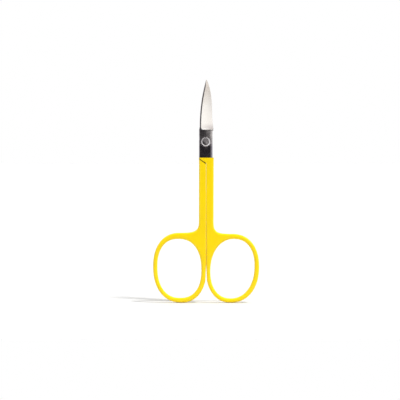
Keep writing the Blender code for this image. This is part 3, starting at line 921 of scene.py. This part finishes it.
# ---------------------------------------------------------------------------
# Build the pieces
# ---------------------------------------------------------------------------
yellow_front, yellow_back = coating("yellow_coating_front"), coating("yellow_coating_back")
dark, ground, slide = polished_steel("polished_steel"), ground_steel("ground_steel"), sliding_steel("lapped_steel")
screw_mat, dark_stop = screw_steel("turned_steel"), dark_stop_material("dark_stop_face")

pieces = []
for name, h, front, body in (("front", FRONT, True, "front_half"), ("back", BACK, False, "back_half")):
    steel = steel_object(name + "_blade_and_lap", h, front, (dark, ground, slide))
    smooth(steel, 32)
    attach(steel, body)
    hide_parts(name + "_half_steel")
    coat = handle_solid(name + "_coating", h, 0.0, 0.5 * SLIDE + 0.02, True,
                        (yellow_front if front else yellow_back, dark_stop))
    smooth(coat, 42)
    mod = coat.modifiers.new("Weighted", 'WEIGHTED_NORMAL')
    mod.keep_sharp = True
    mod.weight = 60
    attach(coat, body)
    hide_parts(name + "_handle_coating")
    pieces += [steel, coat]

screw = screw_object("slotted_pivot_screw", (screw_mat,))
smooth(screw, 38)
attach(screw, "back_half")
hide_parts("pivot_screw")
pieces.append(screw)

# ---------------------------------------------------------------------------
# Stage: pale floor, soft light, camera
# ---------------------------------------------------------------------------
floor_mesh = bpy.data.meshes.new("floor")
bm = bmesh.new()
bmesh.ops.create_grid(bm, x_segments=2, y_segments=2, size=0.5)
for v in bm.verts:
    v.co.x *= 1.6
    v.co.y = v.co.y * 1.3 + 0.52
bm.to_mesh(floor_mesh)
bm.free()
floor = bpy.data.objects.new("floor", floor_mesh)
floor.location = (0.0, 0.0, -0.00002)
bpy.context.scene.collection.objects.link(floor)
fm = bpy.data.materials.new("floor")
fm.use_nodes = True
fs = fm.node_tree.nodes["Principled BSDF"]
fs.inputs["Base Color"].default_value = (0.70, 0.70, 0.70, 1.0)
fs.inputs["Roughness"].default_value = 0.9
fs.inputs["Specular IOR Level"].default_value = 0.0
floor_mesh.materials.append(fm)


def sun(name, toward, strength, angle):
    light = bpy.data.lights.new(name, 'SUN')
    light.energy = strength * math.pi
    light.angle = math.radians(angle)
    ob = bpy.data.objects.new(name, light)
    ob.location = Vector(toward).normalized() * 2.0
    ob.rotation_euler = (-Vector(toward)).to_track_quat('-Z', 'Y').to_euler()
    ob.visible_glossy = False        # the softboxes of the world give the reflections
    bpy.context.scene.collection.objects.link(ob)
    return ob


sun("key_front", (0.46, -0.30, 1.0), 0.78, 7.0)
sun("key_rear", (0.8, 0.50, 1.0), 0.12, 8.0)

# A white studio with a dark gap between the softboxes, in front of and behind the object,
# so that flat polished steel has something dark to reflect.
world = bpy.data.worlds.new("studio")
bpy.context.scene.world = world
world.use_nodes = True
wt = world.node_tree
for node in list(wt.nodes):
    wt.nodes.remove(node)


def wnode(kind, **values):
    n = wt.nodes.new(kind)
    for key, value in values.items():
        setattr(n, key, value)
    return n


def wmath(op, a, b=None):
    n = wnode("ShaderNodeMath", operation=op)
    for k, x in enumerate((a, b)):
        if x is None:
            continue
        if isinstance(x, (int, float)):
            n.inputs[k].default_value = x
        else:
            wt.links.new(x, n.inputs[k])
    return n.outputs[0]


def wramp(fac, stops):
    n = wnode("ShaderNodeValToRGB")
    while len(n.color_ramp.elements) < len(stops):
        n.color_ramp.elements.new(0.5)
    for el, (pos, val) in zip(n.color_ramp.elements, stops):
        el.position = pos
        el.color = (val, val, val, 1.0)
    n.color_ramp.interpolation = 'EASE'
    wt.links.new(fac, n.inputs["Fac"])
    return n.outputs["Color"]


w_dir = wnode("ShaderNodeTexCoord").outputs["Generated"]
w_sep = wnode("ShaderNodeSeparateXYZ")
wt.links.new(w_dir, w_sep.inputs[0])
wx, wy, wz = w_sep.outputs
flat = wmath('SQRT', wmath('ADD', wmath('MULTIPLY', wx, wx), wmath('MULTIPLY', wy, wy)))
aside = wmath('DIVIDE', wmath('ABSOLUTE', wx), wmath('MAXIMUM', flat, 0.001))
gap = wramp(aside, ((0.0, 0.05), (0.15, 0.055), (0.27, 1.0), (0.66, 1.0), (1.0, 0.74)))
level = wramp(wmath('ADD', wmath('MULTIPLY', wz, 0.5), 0.5),
              [(0.5 + 0.5 * z, v) for z, v in ((-1.0, 0.44), (-0.52, 0.50), (-0.38, 0.68), (-0.30, 0.84),
                                               (-0.12, 1.0), (0.02, 1.0), (0.16, 0.82), (0.28, 0.82),
                                               (0.45, 0.90), (1.0, 0.92))])
mixc = wnode("ShaderNodeMix", data_type='RGBA', blend_type='MULTIPLY')
mixc.inputs[0].default_value = 1.0
wt.links.new(gap, mixc.inputs[6])
wt.links.new(level, mixc.inputs[7])
glow = wnode("ShaderNodeBackground")
glow.inputs["Strength"].default_value = 1.10
wt.links.new(mixc.outputs[2], glow.inputs["Color"])
seen = wnode("ShaderNodeBackground")
seen.inputs["Color"].default_value = (1, 1, 1, 1)
seen.inputs["Strength"].default_value = 1.0
path = wnode("ShaderNodeLightPath")
mixer = wnode("ShaderNodeMixShader")
w_out = wnode("ShaderNodeOutputWorld")
wt.links.new(path.outputs["Is Camera Ray"], mixer.inputs["Fac"])
wt.links.new(glow.outputs[0], mixer.inputs[1])
wt.links.new(seen.outputs[0], mixer.inputs[2])
wt.links.new(mixer.outputs[0], w_out.inputs["Surface"])

scene = bpy.context.scene
scene.view_settings.view_transform = 'Standard'
scene.view_settings.look = 'None'
scene.view_settings.exposure = 0.0
scene.view_settings.gamma = 1.0

# Camera: long lens, a few degrees above the object, framed on the whole object
FRAME_MM = 160.87                     # width seen at the object
aim = Vector((-2.47, 0.0, 41.53)) * MM
elev = math.radians(3.5)
dist = 1.1
cam_data = bpy.data.cameras.new("camera")
cam_data.sensor_width = 36.0
cam_data.lens = 36.0 / (2.0 * (0.5 * FRAME_MM * MM / dist))
cam_data.clip_start = 0.01
cam_data.clip_end = 20.0
cam = bpy.data.objects.new("camera", cam_data)
cam.location = aim + Vector((0.0, -math.cos(elev), math.sin(elev))) * dist
cam.rotation_euler = (aim - cam.location).to_track_quat('-Z', 'Y').to_euler()
scene.collection.objects.link(cam)
scene.camera = cam

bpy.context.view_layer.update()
